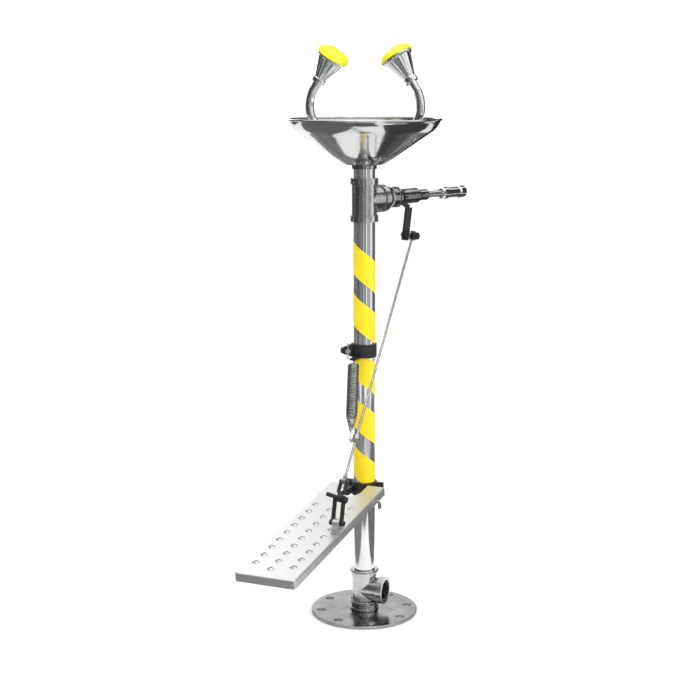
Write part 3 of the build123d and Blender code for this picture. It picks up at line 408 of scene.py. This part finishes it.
class EYEWASH_OT_spray_heads(bpy.types.Operator):
    """Turn the two chromed spray heads"""

    bl_idname = "eyewash.spray_heads"
    bl_label = "Spray Heads"

    def execute(self, context):
        sizes = context.scene.eyewash_sizes
        chrome = finishes()["chrome"]
        band = HEAD_LENGTH - HEAD_BAND
        socket = ARM_RADIUS + LOOSE
        mouth = HEAD_MOUTH - HEAD_WALL
        neck = COLLAR_HALF + 1 * MM
        outline = rounded([
            (socket, -COLLAR_HALF, 0), (COLLAR, -COLLAR_HALF, 1 * MM), (COLLAR, COLLAR_HALF, 1 * MM),
            (COLLAR - 1.4 * MM, neck, 1 * MM), (HEAD_SHOULDER, band - HEAD_WALL, 3 * MM),
            (HEAD_MOUTH, band, 1 * MM), (HEAD_MOUTH, HEAD_LENGTH, 0.7 * MM), (mouth, HEAD_LENGTH, 0.4 * MM),
            (mouth, band + 1 * MM, 0.4 * MM), (HEAD_SHOULDER - 1.9 * MM, band, 2 * MM),
            (THROAT, neck + 1 * MM, 0), (socket, neck, 0),
        ], 6)
        for side, word in ((-1, "left"), (1, "right")):
            piece = lathe(f"spray_cone_{word}", outline, sizes.round_steps)
            settle(piece, head_place(side))
            smooth(piece, 40)
            wears(piece, "stand", "chrome", chrome, f"nozzle_cone_{word}")
        return {"FINISHED"}


# ---------------------------------------------------------------- weld and collars at the pole's foot
WELD_WIRE = 2.2 * MM
WELD_RIPPLES = 34
COLLAR_WIRE = 1.7 * MM
COLLAR_INSET = 3 * MM    # middle of a collar, from the tee's end


class EYEWASH_OT_welds(bpy.types.Operator):
    """Lay the weld bead round the foot of the pole and the collars at the lower tee's two ends"""

    bl_idname = "eyewash.welds"
    bl_label = "Weld And Collars"

    def execute(self, context):
        low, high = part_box("drain_tee")
        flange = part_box("base_flange")[1].z
        weld = self.torus("foot_weld", flange + 0.8 * MM, -low.x + 0.4 * MM, WELD_WIRE)
        self.ripple(weld, flange + 0.8 * MM)
        for word, level in (("low", low.z + COLLAR_INSET), ("high", high.z - COLLAR_INSET)):
            self.torus(f"tee_collar_{word}", level, -low.x + 0.2 * MM, COLLAR_WIRE)
        return {"FINISHED"}

    def torus(self, name, level, radius, wire):
        """Round bead about the pole's axis."""
        deselect()
        bpy.ops.mesh.primitive_torus_add(major_segments=96, minor_segments=12, major_radius=radius,
                                         minor_radius=wire, location=(0, 0, level))
        piece = bpy.context.active_object
        piece.name = name
        settle(piece)
        smooth(piece, 60)
        wears(piece, "stand", "polished_steel", finishes()["fitting"])
        return piece

    def ripple(self, piece, level):
        """Gives the bead the even ripples of a hand-laid weld."""
        for vertex in piece.data.vertices:
            angle = math.atan2(vertex.co.y, vertex.co.x)
            swell = 1 + 0.14 * math.sin(WELD_RIPPLES * angle)
            vertex.co.z = level + (vertex.co.z - level) * swell


# ---------------------------------------------------------------- warning tape
TAPE_TURNS = 5
TAPE_PITCH = 101 * MM
TAPE_WIDTH = 62 * MM
TAPE_FILM = 0.3 * MM
TAPE_FOOT = 249.5 * MM
TAPE_BACK = math.radians(113)


class EYEWASH_OT_warning_tape(bpy.types.Operator):
    """Wind the yellow warning tape down the pole"""

    bl_idname = "eyewash.warning_tape"
    bl_label = "Warning Tape"

    def execute(self, context):
        low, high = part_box("marking_tape")
        deselect()
        bpy.ops.mesh.primitive_grid_add(x_subdivisions=80 * TAPE_TURNS, y_subdivisions=6, size=1,
                                        location=(0, 0, 0))
        piece = bpy.context.active_object
        piece.name = "tape_strip"
        for vertex in piece.data.vertices:
            wound = math.tau * TAPE_TURNS * (0.5 - vertex.co.x)
            angle = TAPE_BACK - wound
            level = TAPE_FOOT + TAPE_PITCH * wound / math.tau + TAPE_WIDTH * vertex.co.y
            vertex.co = (high.x * math.cos(angle), high.x * math.sin(angle), max(level, low.z))
        active(piece)
        bpy.ops.object.mode_set(mode="EDIT")
        bpy.ops.mesh.select_all(action="SELECT")
        bpy.ops.mesh.dissolve_degenerate(threshold=0.01 * MM)
        bpy.ops.object.mode_set(mode="OBJECT")
        film = piece.modifiers.new("film", "SOLIDIFY")
        film.thickness = TAPE_FILM
        film.offset = -1
        bpy.ops.object.modifier_apply(modifier=film.name)
        smooth(piece, 40)
        wears(piece, "stand", "yellow_tape", finishes()["tape"], "marking_tape")
        return {"FINISHED"}


# ---------------------------------------------------------------- dust caps
CAP_EDGE = 32.2 * MM
CAP_DOME = 14 * MM
CAP_SKIRT = 2.8 * MM
CAP_FILM = 1.6 * MM
GROOVE = 1.9 * MM
GROOVE_REACH = 6.5 * MM


class EYEWASH_OT_dust_caps(bpy.types.Operator):
    """Mould the two yellow dust caps"""

    bl_idname = "eyewash.dust_caps"
    bl_label = "Dust Caps"

    def execute(self, context):
        sizes = context.scene.eyewash_sizes
        plastic = finishes()["cap"]
        seat = HEAD_LENGTH + 0.5 * MM
        inner = HEAD_MOUTH + 0.5 * MM
        outline = rounded([
            (inner, seat - CAP_SKIRT, 0), (CAP_EDGE, seat - CAP_SKIRT, 0.5 * MM),
            (CAP_EDGE, seat + 1 * MM, 2 * MM), (29.5 * MM, seat + 7.5 * MM, 8 * MM),
            (20 * MM, seat + 13.4 * MM, 14 * MM), (0, seat + CAP_DOME, 0), (0, seat + CAP_DOME - CAP_FILM, 0),
            (19 * MM, seat + 11.6 * MM, 14 * MM), (27.6 * MM, seat + 6.5 * MM, 6 * MM),
            (28.4 * MM, seat, 0), (inner, seat, 0),
        ], 7)
        for side, word in ((-1, "left"), (1, "right")):
            piece = lathe(f"cap_shell_{word}", outline, sizes.round_steps)
            self.press_top(piece, seat)
            settle(piece, head_place(side))
            smooth(piece, 50)
            wears(piece, f"cap_{word}", "yellow_cap", plastic, f"dust_cap_{word}")
        return {"FINISHED"}

    def press_top(self, piece, seat):
        """Sinks a shallow finger groove across the dome."""
        for vertex in piece.data.vertices:
            rise = (vertex.co.z - seat) / CAP_DOME
            if rise > 0.25:
                share = math.exp(-(vertex.co.x / GROOVE_REACH) ** 2)
                vertex.co.z -= GROOVE * share * min((rise - 0.25) / 0.4, 1)


# ---------------------------------------------------------------- return spring
SPRING_TOP = Vector((-3, -46, 527)) * MM
SPRING_HOOK = 2.4 * MM
SPRING_BESIDE = 9.4 * MM    # middle of the lower hook, beside the rod
SPRING_LEAD = 12 * MM
SPRING_STEPS = 20
BODY_SHARE = 0.70
CONE_SHARE = 0.88


class EYEWASH_OT_return_spring(bpy.types.Operator):
    """Wind the return spring with a straight upper end and a hook at its lower end"""

    bl_idname = "eyewash.return_spring"
    bl_label = "Return Spring"

    def execute(self, context):
        sizes = context.scene.eyewash_sizes
        ring_low, ring_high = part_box("spring_link")
        foot = (ring_low + ring_high) / 2 - Vector((SPRING_BESIDE, 0, 0))
        way = foot - SPRING_TOP
        piece = self.wire(self.winding(sizes, way.length), sizes.spring_wire)
        way = way.normalized()
        turn = UP.rotation_difference(way).to_matrix().to_4x4()
        settle(piece, Matrix.Translation(SPRING_TOP) @ turn)
        smooth(piece, 60)
        piece.data.materials.clear()
        piece.data.materials.append(finishes()["zinc"])
        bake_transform(piece)
        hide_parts("return_spring")
        return {"FINISHED"}

    def winding(self, sizes, length):
        """Points of the wire down +Z: straight upper end, close turns, narrowing turns and lower hook."""
        body_end = length * BODY_SHARE
        cone_end = length * CONE_SHARE
        outer = sizes.spring_radius - sizes.spring_wire / 2
        pitch = sizes.spring_wire * 1.22
        close = int((body_end - SPRING_LEAD) / pitch * SPRING_STEPS)
        cone = int((cone_end - body_end) / (pitch * 1.5) * SPRING_STEPS)
        points = [Vector((0, 0, -2 * MM)), Vector((0, 0, 4 * MM)), Vector((outer * 0.5, 0, 8 * MM))]
        for step in range(close + cone):
            share = max(step - close, 0) / cone
            angle = math.tau * step / SPRING_STEPS
            radius = outer + (SPRING_HOOK - outer) * share
            height = SPRING_LEAD + pitch * step / SPRING_STEPS
            if step >= close:
                height = body_end + (cone_end - body_end) * share
            points.append(Vector((radius * math.cos(angle), radius * math.sin(angle), height)))
        for step in range(9):
            turn = math.radians(-110 + 290 * step / 8)
            points.append(Vector((SPRING_HOOK * math.sin(turn), 0, length - SPRING_HOOK * math.cos(turn))))
        return points

    def wire(self, points, thickness):
        """Round wire along the points, made from a bevelled curve."""
        bpy.ops.curve.primitive_nurbs_path_add(location=(0, 0, 0))
        piece = bpy.context.active_object
        piece.name = "spring_coil"
        curve = piece.data
        curve.splines.clear()
        spline = curve.splines.new("POLY")
        spline.points.add(len(points) - 1)
        for place, point in zip(spline.points, points):
            place.co = (*point, 1)
        curve.bevel_depth = thickness / 2
        curve.bevel_resolution = 2
        curve.use_fill_caps = True
        active(piece)
        bpy.ops.object.convert(target="MESH")
        return piece


# ---------------------------------------------------------------- stage
VIEW_AZIMUTH = math.radians(22.8)
VIEW_DISTANCE = 2.777
VIEW_HEIGHT = 1.065
VIEW_DROP = 0.185
VIEW_LENS = 73.8
VIEW_SHIFT = (-0.0204, -0.0043)
AIM = (0, 0, 0.6)
DAYLIGHT = 1.09
CARD_DISTANCE = 2.4
# name, azimuth from the camera, distance, height, power and size of each lamp
STAGE_LIGHTS = (
    ("key", 50, 2.6, 1.7, 26, 1.1), ("back", 205, 2.8, 1.6, 10, 1.2), ("top", 0, 0.5, 3.2, 16, 1.8),
)
# azimuth from the camera, distance, width, depth and shade of each card that lies on the floor
STAGE_MATS = (
    (-84, 1.3, 2.3, 2.0, 0.12), (102, 1.2, 1.7, 1.8, 0.03), (0, 0.92, 0.7, 0.7, 0.08),
    (178, 1.6, 1.4, 2.0, 0.2), (44, 2.1, 1.5, 1.9, 0.34), (-14, 2.4, 1.2, 2.2, 0.16),
)
# azimuth from the camera, width, height and shade of each upright card
STAGE_CARDS = (
    (-28, 1.9, 2.6, 0.10), (-72, 2.1, 2.8, 0.03), (-122, 2.2, 2.8, 0.06),
    (112, 1.6, 2.6, 0.006), (154, 1.7, 2.6, 0.012), (8, 0.9, 2.4, 0.14), (48, 1.7, 2.6, 0.30),
)


class EYEWASH_OT_stage(bpy.types.Operator):
    """Set the pale floor, the soft lights, the reflected cards and the camera"""

    bl_idname = "eyewash.stage"
    bl_label = "Stage"

    def execute(self, context):
        self.floor()
        self.world()
        for lamp in STAGE_LIGHTS:
            self.light(*lamp)
        for azimuth, wide, high, shade in STAGE_CARDS:
            self.card(f"card_{azimuth % 360}", azimuth, CARD_DISTANCE, wide, high, shade)
        for azimuth, distance, wide, deep, shade in STAGE_MATS:
            self.card(f"mat_{azimuth % 360}", azimuth, distance, wide, deep, shade, flat=True)
        self.camera()
        return {"FINISHED"}

    def floor(self):
        deselect()
        bpy.ops.mesh.primitive_plane_add(size=14, location=(0, 0, 0))
        floor = bpy.context.active_object
        floor.name = "floor"
        paint = finish("floor_paint", (0.94, 0.94, 0.94), 0, 0.75, 0.05, 40, depth=0.05, mottle=0.01, patch=3)
        floor.data.materials.append(paint)

    def world(self):
        world = bpy.data.worlds.new("studio")
        bpy.context.scene.world = world
        world.use_nodes = True
        bpy.context.scene.view_settings.view_transform = "Standard"
        back = world.node_tree.nodes["Background"]
        back.inputs["Color"].default_value = (1, 1, 1, 1)
        back.inputs["Strength"].default_value = DAYLIGHT

    def spot(self, azimuth, distance, height):
        """Place at an azimuth from the camera, a distance from the pole and a height."""
        turn = VIEW_AZIMUTH + math.radians(azimuth)
        return Vector((distance * math.sin(turn), -distance * math.cos(turn), height))

    def light(self, name, azimuth, distance, height, power, size):
        """Square lamp that faces the middle of the station."""
        bpy.ops.object.light_add(type="AREA", location=self.spot(azimuth, distance, height))
        lamp = bpy.context.active_object
        lamp.name = f"light_{name}"
        lamp.data.energy = power
        lamp.data.size = size
        way = Vector(AIM) - lamp.location
        lamp.rotation_euler = way.to_track_quat("-Z", "Y").to_euler()

    def card(self, name, azimuth, distance, wide, high, shade, flat=False):
        """Dark card, upright or flat on the floor, that only reflections see."""
        deselect()
        turn = VIEW_AZIMUTH + math.radians(azimuth)
        level = 2 * MM if flat else high / 2 + 50 * MM
        tip = 0 if flat else math.pi / 2
        bpy.ops.mesh.primitive_plane_add(size=1, location=self.spot(azimuth, distance, level),
                                         rotation=(tip, 0, turn))
        card = bpy.context.active_object
        card.name = name
        card.scale = (wide, high, 1)
        paint = finish(f"{name}_felt", (shade, shade, shade), 0, 0.9, 0.05, 40, mottle=0.02)
        card.data.materials.append(paint)
        card.visible_camera = False
        card.visible_shadow = False
        card.visible_diffuse = False

    def camera(self):
        at = self.spot(0, VIEW_DISTANCE, VIEW_HEIGHT)
        bpy.ops.object.camera_add(location=at, rotation=(math.pi / 2 - VIEW_DROP, 0, VIEW_AZIMUTH))
        camera = bpy.context.active_object
        camera.data.lens = VIEW_LENS
        camera.data.shift_x, camera.data.shift_y = VIEW_SHIFT
        bpy.context.scene.camera = camera


OPERATORS = (
    EYEWASH_OT_frame_finishes,
    EYEWASH_OT_bowl,
    EYEWASH_OT_spray_heads,
    EYEWASH_OT_welds,
    EYEWASH_OT_warning_tape,
    EYEWASH_OT_dust_caps,
    EYEWASH_OT_return_spring,
    EYEWASH_OT_stage,
)


class EYEWASH_PT_panel(bpy.types.Panel):
    """Sizes, colours and build steps of the eyewash station"""

    bl_idname = "EYEWASH_PT_panel"
    bl_label = "Eyewash Station"
    bl_space_type = "VIEW_3D"
    bl_region_type = "UI"
    bl_category = "Eyewash"

    def draw(self, context):
        for group in (context.scene.eyewash_sizes, context.scene.eyewash_colours):
            for name in group.__annotations__:
                self.layout.prop(group, name)
        for operator in OPERATORS:
            self.layout.operator(operator.bl_idname)


CLASSES = (EyewashSizes, EyewashColours, *OPERATORS, EYEWASH_PT_panel)


def register():
    for group in CLASSES:
        bpy.utils.register_class(group)
    bpy.types.Scene.eyewash_sizes = PointerProperty(type=EyewashSizes)
    bpy.types.Scene.eyewash_colours = PointerProperty(type=EyewashColours)


def unregister():
    del bpy.types.Scene.eyewash_colours
    del bpy.types.Scene.eyewash_sizes
    for group in reversed(CLASSES):
        bpy.utils.unregister_class(group)


def main():
    register()
    for operator in OPERATORS:
        family, name = operator.bl_idname.split(".")
        getattr(getattr(bpy.ops, family), name)()


if __name__ == "__main__":
    main()
